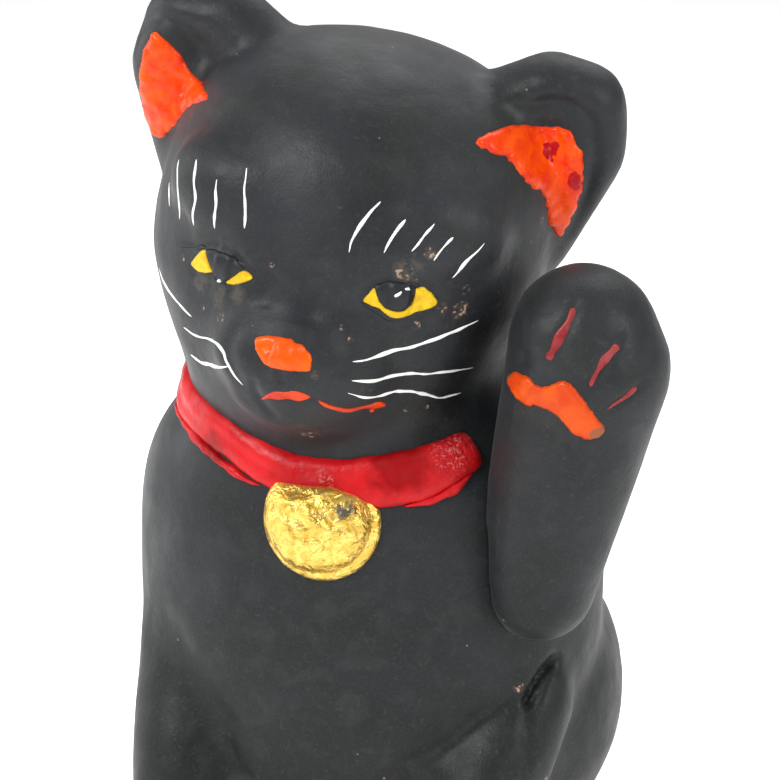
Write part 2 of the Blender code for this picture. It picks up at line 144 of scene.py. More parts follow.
# Painted patches, (s, w) on the face, (u, w) on the ears, (x, z) on the paw.
YELLOW_OUTLINES = {
    "right": (
        ((-24.8, -7), (-22.9, -4.3), (-21.6, -3.3), (-20.9, -4.4), (-19.4, -6.4), (-19.7, -7),
         (-22.5, -8), (-24, -7.7)),
        ((-15.6, -7.2), (-13.9, -5.2), (-12.7, -4.1), (-11.2, -4.4), (-10.9, -5.2), (-12.9, -6.7),
         (-14.8, -7.6)),
    ),
    "left": (
        ((9.4, -4), (10.1, -2.5), (10.9, -1.3), (11.7, -2.6), (12.5, -4), (14, -4.9), (16.2, -4.9),
         (17.7, -3.6), (18, -1.8), (18, -0.4), (19.9, -0.3), (22.4, -2.5), (21.5, -3.9), (19.1, -4.8),
         (16.5, -6.2), (14.4, -6.3), (12.3, -5), (10.5, -4.6)),
    ),
}
IRIS_OUTLINES = {
    "right": ((-21.5, -3.2), (-20.8, -4.8), (-19.4, -6.5), (-17.4, -7.3), (-15.4, -7), (-13.8, -5.2),
              (-12.6, -4), (-15, -2.4), (-18.7, -2.4)),
    "left": ((10.8, -1.3), (11.9, -3.4), (13.5, -4.9), (16, -4.9), (17.6, -3.3), (18.1, -0.6), (16.4, 0.4),
             (13.4, 0.3), (11.8, -0.4)),
}
NOSE_OUTLINE = ((-6.5, -14), (-4.5, -13), (-2.2, -12.5), (0.2, -12.8), (2.2, -13.8), (3.1, -15.4),
                (2.9, -16.9), (0.9, -17.7), (-1.5, -17.9), (-3.9, -18), (-5.3, -16.9), (-6.3, -15.4))
EAR_OUTLINES = {
    "left": ((21.6, 24.4), (24.5, 26.5), (30, 26.6), (36, 27.1), (38, 25.1), (39.9, 22.6), (40.8, 16),
             (39.8, 9.4), (38.6, 6.5), (36.8, 9.6), (34.8, 15.2), (32, 17.9), (27.3, 22.2)),
    "right": ((-43.5, 27.2), (-38.5, 25), (-34.5, 21), (-29, 20.2), (-31.5, 18), (-34.5, 15),
              (-36.5, 11), (-39.5, 7.2), (-42.5, 8.5), (-44.8, 14), (-45.2, 21)),
}
PAD_OUTLINE = ((29.2, 115.4), (30.4, 117.2), (33.2, 117.4), (34.6, 116.4), (36.6, 116.5), (39.4, 117.9),
               (41.4, 117.2), (43.4, 114.8), (45.6, 111.4), (47.2, 108.8), (46, 107.4), (43.6, 107.2),
               (41, 108.6), (38.6, 111.2), (35.6, 112.4), (33, 112), (30.4, 113))

# Strokes of changing width, given the same way with the width at each place.
# Black lid lines; the second stroke at each eye, along the upper lid, is painted shade.
LID_LINES_AND_SHADES = {
    "right": (
        ((-29.1, -5.8, 0.3), (-26.1, -4.8, 0.6), (-23.1, -3.4, 0.8), (-21.6, -3.1, 0.5)),
        ((-14.6, -3, 0.5), (-12.3, -3.3, 1.1), (-10.2, -4, 0.5)),
        ((-19.6, -7, 0.3), (-17.6, -8, 0.5), (-15.6, -7.8, 0.3)),
    ),
    "left": (
        ((9, -4.2, 0.5), (10.4, -4.9, 1.1), (12.5, -5.6, 1.2), (14.9, -6.7, 0.9), (16.6, -6.9, 0.4)),
        ((15.8, 0.4, 0.5), (17.4, 0.3, 0.8), (18.6, -0.1, 0.4)),
    ),
}
# White dabs on the irises are painted highlights, standing for light shining off the glossy black.
GLINTS = {
    "right": (((-17.5, -7.5, 0.4), (-16.7, -7.6, 0.5)),),
    "left": (
        ((14.2, -2.1, 0.5), (15, -1.6, 0.7), (15.5, -0.9, 0.4)),
        ((15.8, -0.6, 0.4), (16.8, -0.4, 0.5)),
    ),
}
MOUTH_STROKES = (
    ((-4.4, -25.7, 0.4), (-2.8, -24.3, 1), (-0.6, -23.3, 1.8), (1.6, -22.6, 1.6), (3.8, -22.3, 0.5)),
    ((5.1, -22.8, 0.4), (6.9, -23.9, 0.8), (10, -24.6, 0.7), (13.1, -23.9, 0.9), (15.4, -23.6, 1.6),
     (17.6, -23.6, 0.6)),
    ((14.4, -24.6, 0.6), (15.6, -25, 0.7)),
)
TOE_STROKES = (
    ((41.1, 130.3, 1.3), (39.7, 127.3, 1.5), (38.2, 124.4, 1.5), (36.8, 121.3, 1.3)),
    ((49, 124.3, 1.4), (46.9, 122.1, 1.4), (45.6, 120, 1), (44.4, 117.2, 0.5)),
    ((52.3, 116.7, 0.9), (50.6, 115.1, 0.9), (47.5, 112.9, 0.3)),
)
# Strokes of one width, (s, w) on the face.
BROW_WIDTH = 0.5
WHISKER_WIDTH = 0.58
BROWS = {
    "right": (
        ((-38, 3.7), (-36.5, 1.9), (-35.2, 0)),
        ((-30, 10.8), (-28.2, 6), (-29.8, -0.5)),
        ((-25.4, 12.5), (-24.2, 9.2), (-23.4, 5.9), (-24.5, 0.3)),
        ((-20, 10.7), (-19.3, 6.4), (-19.4, 1.6)),
        ((-16.2, 13.9), (-14.6, 8.8), (-13.7, 3.5)),
    ),
    "left": (
        ((9.2, 13.9), (7, 10.2), (5.7, 7), (5.4, 4.2)),
        ((14, 11.8), (12.4, 8.7), (11.2, 5.4)),
        ((18.6, 12.1), (16.9, 9.2), (15.6, 6.7)),
        ((21.8, 10.3), (20.4, 8.2), (19.3, 5.7)),
        ((27.5, 9.5), (25, 6.5), (23.5, 2.5)),
    ),
}
WHISKERS = {
    "right": (
        ((-38.5, -13.2), (-36, -14.8), (-32.4, -15.8), (-28.4, -16.5), (-24.2, -17.4)),
        ((-28, -21), (-22.3, -20.7), (-15.4, -18.6), (-12.6, -19.2), (-11.6, -20.8), (-9.8, -22.7),
         (-8, -24.1)),
        ((-27.5, -26.4), (-21.9, -26), (-15.9, -24.1), (-11, -21.6)),
    ),
    "left": (
        ((9.3, -14.5), (14, -13.3), (20.5, -11.3), (24.5, -9.7), (32, -6.5)),
        ((9.7, -17.9), (14, -17.9), (18.6, -17), (24.1, -17.1), (35, -16.5)),
        ((9.5, -20.4), (12.3, -21.2), (15.4, -21.2), (19.7, -20.6), (24.8, -21.4), (30, -22.6),
         (34.5, -22)),
    ),
}

# How thick each kind of paint lies, and how thin a film gets at its edge.
WHITE_THICK = 0.16
LID_THICK = 0.16
YELLOW_THICK = 0.24
IRIS_THICK = 0.3
TOE_STROKE_THICK = 0.3
MOUTH_THICK = 0.35
NOSE_THICK = 0.4
GLINT_THICK = 0.5
LINING_THICK = 0.6
PAD_THICK = 0.6
THINNEST = 0.02

# The collar's spine, (degrees round the neck, height, width).
COLLAR = (
    (45, 99, 5.6), (43, 98.6, 6.8), (36, 97.2, 8), (25, 95.1, 9), (12, 94, 9.4), (0, 93.6, 8.6),
    (-14, 94.3, 7.8), (-25, 96, 7.6), (-40, 99.2, 7.5), (-55, 101.3, 7.5), (-90, 104, 8),
    (-135, 106, 8.5), (-180, 107, 8.5), (-225, 106, 8.5), (-270, 104.5, 8.5), (-282, 103.4, 8.4),
)
COLLAR_RISE = 1.9
RIDGE_RISE = 0.9
# Thin second ridges of the same clay below the collar.
COLLAR_RIDGES = (
    ((-80, 99.2, 0.6), (-62, 98, 1.4), (-50, 96, 1.6), (-40, 94.2, 1.6), (-30, 92.2, 1.3),
     (-25, 91.6, 0.5)),
    ((20, 89.6, 0.5), (27, 90.2, 1.4), (35, 92, 1.6), (42, 95, 0.8)),
)

# The bell's middle, (x, z), its radius, and how far its dome stands off the chest.
BELL_AT = (-4.8, 86.5)
BELL_RADIUS = 11.1
BELL_HEIGHT = 5.6
# The bell's top edge laps over the collar, straight on one side and dropping on the other, (x, z).
BELL_TOP = ((-20, 92.9), (-2.5, 92.9), (1.5, 91.7), (4.5, 90), (8, 87.6))

# Where the black is chipped to the clay or rubbed grey, and where it is darkened as painted shade,
# each with its reach: (s, w) round the face, (u, w) on the ears, (x, z) from the front.
FACE_CHIPS = (
    ((18.5, 7), 1.4), ((15.3, 2.6), 2.4), ((17.6, 0.9), 0.9), ((27, 0), 1.4), ((27.4, -4.2), 2.2),
    ((23.5, -3.8), 1.4), ((-15.3, -14.2), 1.4), ((-20.9, -14.3), 0.8), ((-27.4, 2.1), 0.8),
    ((-27.4, -7.1), 0.8), ((19.6, -7.5), 1.1), ((-7.6, -1.4), 0.7), ((6.6, -9.4), 0.8),
    ((8.4, -10.9), 0.8), ((3.9, -17.6), 1.1), ((22.6, -24.8), 0.9), ((27, -24.4), 0.7),
    ((4.7, -32.1), 2.2),
)
EAR_CHIPS = (((41.9, 21.1), 1.4), ((35.4, 11), 1), ((34.8, 7.4), 0.9))
BODY_CHIPS = (((-36, 8), 2), ((37, 34), 1.2), ((31.5, 52), 1.4), ((-20, 24), 0.8))
FACE_RUBS = (((-22, -10.6), 3.4), ((-17.5, -10.4), 3.6), ((-13, -9), 2.8), ((16, 3.5), 4))
# Painted shade in the crevice between the cheek and the raised paw.
FACE_SHADES = (((33, -10), 6), ((33, -17), 7), ((32, -24), 7), ((29, -30), 5))
# The black darkens from the first of these heights down to the second: painted shade on the lower body.
DARKENING_HEIGHTS = (112, 45)

# Places in space with their reach, for the enamels.
RED_DEEPENED = (((9, -32, 97), 8), ((-26, -26, 97), 4))
# Where the red is crinkled, with painted highlights on the crinkles.
RED_CRINKLED_AND_HIGHLIT = (((18, -28, 98.5), 6), ((-4, -35, 94.5), 2.2))
GOLD_RUBS = (((0.5, -40, 90.5), 3.2), ((-4, -41, 90), 2))
NOSE_BLOTCHES = (((-8.5, -42, 118.5), 1.8),)
EAR_BLOTCHES = (((33.5, -10, 152), 3), ((38.6, -9, 146.5), 3))
PAD_BLOTCHES = (((46, -42, 108.5), 2.6), ((30, -35, 116.5), 1.5))

# Colours, as linear red, green and blue. First the black paint and what lies on it or shows through.
BLACK_DEEP = (0.0095, 0.0105, 0.0125)
BLACK_PALE = (0.019, 0.021, 0.025)
BLACK_GREENISH = (0.0135, 0.0165, 0.0125)
# Painted shade on the lower body.
BLACK_LOW_SHADE = (0.0062, 0.0078, 0.0078)
# Painted shade in the crevice beside the raised paw.
BLACK_CREVICE_SHADE = (0.002, 0.002, 0.0025)
DUST = (0.034, 0.034, 0.035)
FINE_DUST = (0.04, 0.04, 0.042)
GRIT = (0.07, 0.06, 0.05)
RUBBED_BLACK = (0.062, 0.056, 0.048)
SPECK = (0.34, 0.25, 0.17)
STAIN = (0.13, 0.085, 0.055)
CHIPPED_CLAY = (0.42, 0.29, 0.2)
RED_DEEP = (0.38, 0.003, 0.006)
RED_BRIGHT = (0.56, 0.01, 0.013)
RED_DARK = (0.24, 0.001, 0.002)
RED_DIRT = (0.12, 0.01, 0.01)
# Painted highlight on the crinkled red.
RED_PAINTED_HIGHLIGHT = (0.7, 0.22, 0.2)
GOLD_DEEP = (0.66, 0.4, 0.055)
GOLD_BRIGHT = (0.97, 0.68, 0.17)
GOLD_RUBBED = (0.2, 0.18, 0.12)
GOLD_DIRT = (0.25, 0.13, 0.03)
WHITE_THIN = (0.8, 0.8, 0.78)
WHITE_FULL = (0.95, 0.95, 0.93)
WHITE_GAPS = (0.2, 0.2, 0.2)
CLAY_DEEP = (0.36, 0.2, 0.12)
CLAY_PALE = (0.5, 0.31, 0.2)
CLAY_GRIT = (0.12, 0.08, 0.06)
CLAY_SMUDGE = (0.05, 0.045, 0.045)
ENAMEL_DIRT = (0.09, 0.03, 0.02)
ORANGE_DIRT = (0.16, 0.05, 0.02)
# Enamels, each deep and bright, and the blotched ones' blotch.
MOUTH_ORANGES = ((0.5, 0.028, 0.006), (0.72, 0.06, 0.006))
TOE_REDS = ((0.2, 0.005, 0.01), (0.3, 0.045, 0.045))
EYE_YELLOWS = ((0.58, 0.33, 0.002), (0.74, 0.5, 0.003))
IRIS_BLACKS = ((0.009, 0.01, 0.012), (0.014, 0.015, 0.017))
NOSE_ORANGES = ((0.68, 0.06, 0.001), (0.8, 0.1, 0.002), (0.2, 0.05, 0.03))
EAR_ORANGES = ((0.68, 0.028, 0.001), (0.82, 0.075, 0.001), (0.36, 0.001, 0.003))
PAD_ORANGES = ((0.55, 0.045, 0.001), (0.68, 0.08, 0.001), (0.28, 0.08, 0.03))
COAT_ROUGHNESS = 0.12

# The studio, in metres and degrees. Each light has its place, its power and its width.
FLOOR_HALF = 4
FLOOR_DEEP = (0.9, 0.9, 0.9)
FLOOR_PALE = (0.93, 0.93, 0.92)
FLOOR_GLOW = 0.45
ROOM_GLOW = 0.3
LIT_PLACE = (0, 0, 0.1)
LIGHTS = {
    "key": ((-0.5, -0.65, 0.75), 8.5, 0.35),
    "side": ((0.75, -0.4, 0.6), 4.5, 0.4),
    "rim": ((-0.8, 0.1, 0.35), 3, 0.5),
    "top": ((0.1, 0.45, 0.85), 5, 0.8),
}
CAMERA_TARGET = (0.003, 0, 0.101)
CAMERA_DISTANCE = 0.5
CAMERA_AZIMUTH = 8
CAMERA_ELEVATION = 18
CAMERA_LENS = 118.4


def head_frame():
    """The matrix that takes a place on an upright, forward-looking head to where it is."""
    turn = Matrix.Rotation(radians(HEAD_TURN), 4, "Z") @ Matrix.Rotation(radians(HEAD_TILT), 4, "Y")
    return Matrix.Translation(HEAD_AT) @ turn


def on_face(s, w):
    """Where a ray starts, and which way it goes, for a place s round the face and w up it."""
    angle = s / FACE_RADIUS
    out = Vector((sin(angle), -cos(angle), 0))
    place = head_frame()
    return place @ (FAR * out + Vector((0, 0, w))), place.to_3x3() @ -out


def on_neck(s, z):
    """The same, for a place s round the neck, as a length, and z up."""
    angle = s / NECK_RADIUS
    out = Vector((sin(angle), -cos(angle), 0))
    return FAR * out + Vector((NECK_X, 0, z)), -out


def on_ear(u, w):
    """The same, for a place seen straight from the front of the head."""
    place = head_frame()
    return place @ Vector((u, -FAR, w)), place.to_3x3() @ Vector((0, 1, 0))


def from_front(x, z):
    """The same, for a place seen straight from the front of the figurine."""
    return Vector((x, -FAR, z)), Vector((0, 1, 0))


def between(rows, steps):
    """The rows with more between them, on a Catmull-Rom curve through them all."""
    rows = np.array(rows, float)
    ends = np.vstack([rows[:1], rows, rows[-1:]])
    more = []
    for p, q, r, s in zip(ends, ends[1:], ends[2:], ends[3:]):
        for t in np.arange(steps) / steps:
            more.append(q + t * (r - p + t * (2 * p - 5 * q + 4 * r - s + t * (3 * (q - r) + s - p))) / 2)
    return np.array(more + [rows[-1]])


def evenly(points, spacing):
    """Points that far apart along a line of points."""
    lengths = np.linalg.norm(np.diff(points[:, :2], axis=0), axis=1)
    along = np.concatenate([[0], np.cumsum(lengths)])
    count = max(3, int(along[-1] / spacing) + 1)
    at = np.linspace(0, along[-1], count)
    return np.stack([np.interp(at, along, column) for column in points.T], axis=1)


def direction(rows, i):
    """Which way a line of points runs at one of them."""
    before, after = rows[max(i - 1, 0)], rows[min(i + 1, len(rows) - 1)]
    return Vector((after[0] - before[0], after[1] - before[1])).normalized()


def rounded(share):
    """The height of a quarter circle: 0 at 0, rising steeply, and 1 from 1 on."""
    return (1 - (1 - min(share, 1)) ** 2) ** 0.5


# Shapes from the CAD.


def mesh_of(name, bm):
    """The bmesh, which is used up, as a mesh."""
    mesh = bpy.data.meshes.new(name)
    bm.to_mesh(mesh)
    bm.free()
    return mesh


def add_object(name, data):
    """A new object in the scene."""
    obj = bpy.data.objects.new(name, data)
    bpy.context.scene.collection.objects.link(obj)
    return obj


def closed_shape(nodes):
    """The CAD nodes' solids in one bmesh, each swollen a little so that the gaps between them close."""
    bm = bmesh.new()
    for node in nodes:
        one = bmesh.new()
        one.from_mesh(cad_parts[node].data)
        bmesh.ops.scale(one, vec=(1 / MM, 1 / MM, 1 / MM), verts=one.verts)
        bmesh.ops.remove_doubles(one, verts=one.verts, dist=WELD)
        one.normal_update()
        for v in one.verts:
            v.co += SWELL * v.normal
        mesh = mesh_of(node, one)
        bm.from_mesh(mesh)
        bpy.data.meshes.remove(mesh)
    return bm


def fused(bm, voxel, smoothing):
    """One even skin of small squares round everything in bm, with its facets smoothed away."""
    obj = add_object("clay", mesh_of("clay", bm))
    remesh = obj.modifiers.new("Fuse", "REMESH")
    remesh.mode = "VOXEL"
    remesh.voxel_size = voxel
    smooth = obj.modifiers.new("Smooth", "SMOOTH")
    smooth.iterations = smoothing
    graph = bpy.context.evaluated_depsgraph_get()
    done = bpy.data.meshes.new_from_object(obj.evaluated_get(graph))
    bpy.data.objects.remove(obj)
    made = bmesh.new()
    made.from_mesh(done)
    bpy.data.meshes.remove(done)
    return made


def shrink(bm, by):
    """Draws the surface in by so many millimetres."""
    bm.normal_update()
    for v in bm.verts:
        v.co -= by * v.normal


def keep_largest(bm):
    """Deletes every separate surface but the one with the most points."""
    left, largest = set(bm.verts), []
    while left:
        start = left.pop()
        island, edge = [start], [start]
        while edge:
            around = {e.other_vert(v) for v in edge for e in v.link_edges} & left
            left -= around
            edge = list(around)
            island += edge
        largest = max(largest, island, key=len)
    kept = set(largest)
    bmesh.ops.delete(bm, geom=[v for v in bm.verts if v not in kept], context="VERTS")


def split_finer(bm, inside, smoothing):
    """Splits the squares of the part that passes the test, and smooths it."""
    edges = [e for e in bm.edges if all(inside(v.co) for v in e.verts)]
    bmesh.ops.subdivide_edges(bm, edges=edges, cuts=1, use_grid_fill=True)
    part = [v for v in bm.verts if inside(v.co)]
    for _ in range(smoothing):
        bmesh.ops.smooth_vert(
            bm, verts=part, factor=0.5, use_axis_x=True, use_axis_y=True, use_axis_z=True
        )


def hollow_below(bm):
    """Cuts the skin flat above the base and closes it with a floor and the room over the vent."""
    everything = bm.verts[:] + bm.edges[:] + bm.faces[:]
    bmesh.ops.bisect_plane(
        bm, geom=everything, plane_co=(0, 0, SKIN_BOTTOM), plane_no=(0, 0, 1), clear_inner=True
    )
    keep_largest(bm)
    rim = [e for e in bm.edges if len(e.link_faces) == 1]
    rings = []
    for radius, z in ROOM:
        place = Matrix.Translation((*VENT_AT, z))
        ring = bmesh.ops.create_circle(bm, segments=ROOM_SIDES, radius=radius, matrix=place)
        rings.append(ring["verts"])
    for low, high in zip(rings, rings[1:]):
        for i in range(len(low)):
            bm.faces.new((low[i - 1], low[i], high[i], high[i - 1]))
    bm.faces.new(rings[-1])
    mouth = [e for e in bm.edges if e.verts[0] in rings[0] and e.verts[1] in rings[0]]
    bmesh.ops.triangle_fill(bm, use_beauty=True, edges=rim + mouth)
    bmesh.ops.recalc_face_normals(bm, faces=bm.faces)


# Marks pressed into the clay.


def landed(tree, aim, points):
    """Where the rays for these places meet the surface, and the surface's direction there."""
    places, normals = [], []
    for a, b in points:
        place, normal, _, _ = tree.ray_cast(*aim(a, b))
        places.append(place)
        normals.append(normal)
    return places, normals


def press(points, normals, path, depth, width):
    """Moves points near a path along their normals: in for a positive depth, out for a negative one."""
    path = np.array(path)
    reach = 3 * width
    near = np.all((points > path.min(0) - reach) & (points < path.max(0) + reach), axis=1)
    close = points[near]
    best = np.full(len(close), np.inf)
    along = np.zeros(len(close))
    count = len(path) - 1
    for i, (a, b) in enumerate(zip(path, path[1:])):
        t = np.clip((close - a) @ (b - a) / ((b - a) @ (b - a)), 0, 1)
        distance = np.linalg.norm(close - a - t[:, None] * (b - a), axis=1)
        closer = distance < best
        best[closer] = distance[closer]
        along[closer] = (i + t[closer]) / count
    fade = np.clip(5 * np.minimum(along, 1 - along), 0.15, 1)
    points[near] = close - (depth * fade * np.exp(-((best / width) ** 2)))[:, None] * normals[near]


def sculpt(bm, groups):
    """Presses groups of marks, each (aim, marks, sign), into the clay, and makes it slightly uneven."""
    bm.normal_update()
    tree = BVHTree.FromBMesh(bm)
    points = np.array([v.co for v in bm.verts])
    normals = np.array([v.normal for v in bm.verts])
    for aim, marks, sign in groups:
        for path, depth, width in marks:
            places, _ = landed(tree, aim, between(path, 4))
            places = [place for place in places if place is not None]
            press(points, normals, places, sign * depth, width)
    for v, point, normal in zip(bm.verts, points, normals):
        lump = noise.noise(v.co / 17) + 0.4 * noise.noise(v.co / 6) + 0.12 * noise.noise(v.co / 2.2)
        v.co = Vector(point + UNEVENNESS * lump * normal)
    bm.normal_update()


# Pieces.


def piece(name, bm, material, slot, *nodes):
    """Makes the bmesh a piece in metres, which rides on the body and stands for those CAD nodes."""
    bmesh.ops.scale(bm, vec=(MM, MM, MM), verts=bm.verts)
    mesh = mesh_of(name, bm)
    mesh.shade_smooth()
    mesh.materials.append(material)
    obj = add_object(name, mesh)
    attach(obj, "root")
    if nodes:
        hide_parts(*nodes)


def film(layout, tree, aim, sunk=0.25):
    """A closed film on the clay. layout is its flat points, its faces, its rim's points and its heights."""
    points, faces, rim, heights = layout
    places, normals = landed(tree, aim, points)
    bm = bmesh.new()
    above = [bm.verts.new(p + float(h) * n) for p, n, h in zip(places, normals, heights)]
    below = [bm.verts.new(p - sunk * n) for p, n in zip(places, normals)]
    for face in faces:
        bm.faces.new([above[i] for i in face])
        bm.faces.new([below[i] for i in reversed(face)])
    for a, b in zip(rim, [*rim[1:], rim[0]]):
        bm.faces.new((above[a], above[b], below[b], below[a]))
    bmesh.ops.recalc_face_normals(bm, faces=bm.faces)
    return bm


def painted(name, layout, ground, finish, *nodes):
    """Makes a film of paint a piece. ground is a search tree and an aim, finish a material and a slot name,
    which is not used.
    """
    piece(f"{name}_paint", film(layout, *ground), *finish, *nodes)


def grid(rows, columns):
    """The faces of a grid of points, and its rim."""
    faces = []
    for i in range(rows - 1):
        for j in range(columns - 1):
            a = i * columns + j
            faces.append((a, a + 1, a + columns + 1, a + columns))
    last = (rows - 1) * columns
    rim = [*range(columns)]
    rim += [i * columns + columns - 1 for i in range(1, rows - 1)]
    rim += [last + j for j in reversed(range(columns))]
    rim += [i * columns for i in reversed(range(1, rows - 1))]
    return faces, rim


def ribbon(spine, thick, spacing=0.35, columns=5, ragged=0.12, blunt=0.06, seed=0.0):
    """The layout of a brush stroke along a spine of (s, w, width)."""
    rows = evenly(between(spine, 6), spacing)
    shares = np.sin(np.linspace(-pi / 2, pi / 2, columns))
    points, heights = [], []
    for i, (s, w, width) in enumerate(rows):
        along = direction(rows, i)
        taper = rounded(min(i, len(rows) - 1 - i) / (len(rows) - 1) / blunt)
        fray = 1 + 2 * ragged * noise.noise(Vector((seed, i * spacing / 2.2, 3.7)))
        half = max(width / 2 * fray * taper, 0.05)
        drift = ragged * 0.5 * noise.noise(Vector((seed, i * spacing / 3, 9.1)))
        body = 1 + 0.35 * noise.noise(Vector((seed, i * spacing / 1.2, 5.3)))
        for share in shares:
            offset = half * share + drift
            points.append((s - along.y * offset, w + along.x * offset))
            heights.append(max(THINNEST, thick * body * taper * (1 - share * share) ** 0.5))
    faces, rim = grid(len(rows), columns)
    return points, faces, rim, heights


def wobbled(outline, spacing, ragged, seed):
    """The closed outline through these few points, evenly spaced, its edge a little ragged."""
    ring = np.array(outline, float)
    ring = np.vstack([ring[-1:], ring, ring[:2]])
    curve = between(ring, 8)[8:-8]
    curve = evenly(curve, spacing)[:-1]
    moved = []
    for x, y in curve:
        place = Vector((x, y, seed))
        fray = noise.noise_vector(place / 1.3) + 0.5 * noise.noise_vector(place / 0.5)
        moved.append((x + ragged * fray.x, y + ragged * fray.y))
    return np.array(moved)


def inside_of(points, ring):
    """Whether each point lies inside the ring, and how far it is from it."""
    found = np.zeros(len(points), bool)
    best = np.full(len(points), np.inf)
    for a, b in zip(ring, np.roll(ring, -1, axis=0)):
        crosses = (a[1] > points[:, 1]) != (b[1] > points[:, 1])
        rise = np.where(crosses, b[1] - a[1], 1)
        at = a[0] + (points[:, 1] - a[1]) / rise * (b[0] - a[0])
        found ^= crosses & (points[:, 0] < at)
        t = np.clip((points - a) @ (b - a) / max((b - a) @ (b - a), 1e-9), 0, 1)
        best = np.minimum(best, np.linalg.norm(points - a - t[:, None] * (b - a), axis=1))
    return found, best


def patch(outline, thick, spacing=0.35, edge=0.6, ragged=0.12, lumps=0.25, seed=0.0):
    """The layout of a painted patch inside an outline."""
    ring = wobbled(outline, spacing, ragged, seed)
    low, high = ring.min(0), ring.max(0)
    xs, ys = (np.arange(a + spacing / 2, b, spacing) for a, b in zip(low, high))
    field = np.array([(x + (j % 2) * spacing / 2, y) for j, y in enumerate(ys) for x in xs])
    inside, away = inside_of(field, ring)
    field = field[inside & (away > spacing / 2)]
    flat = [Vector(p) for p in ring] + [Vector(p) for p in field]
    points, _, faces, _, _, _ = delaunay_2d_cdt(flat, [], [list(range(len(ring)))], 1, 1e-5)
    points = np.array(points)
    _, away = inside_of(points, ring)
    heights = []
    for (x, y), distance in zip(points, away):
        lump = 1 + lumps * noise.noise(Vector((x / 1.6, y / 1.6, seed)))
        heights.append(max(THINNEST, thick * rounded(distance / edge) * lump))
    return [tuple(p) for p in points], faces, list(range(len(ring))), heights


# Materials.


def places_of(marks, aim):
    """Marks, each ((a, b), reach), as points in space on the CAD surface, each with its reach."""
    graph = bpy.context.evaluated_depsgraph_get()
    trees = [BVHTree.FromObject(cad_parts[node], graph) for node in SKIN_NODES]
    found = []
    for (a, b), reach in marks:
        start, way = aim(a, b)
        hits = [tree.ray_cast(start * MM, way) for tree in trees]
        hits = [(distance, place) for place, _, _, distance in hits if place is not None]
        if hits:
            found.append((min(hits, key=lambda hit: hit[0])[1] / MM, reach))
    return found


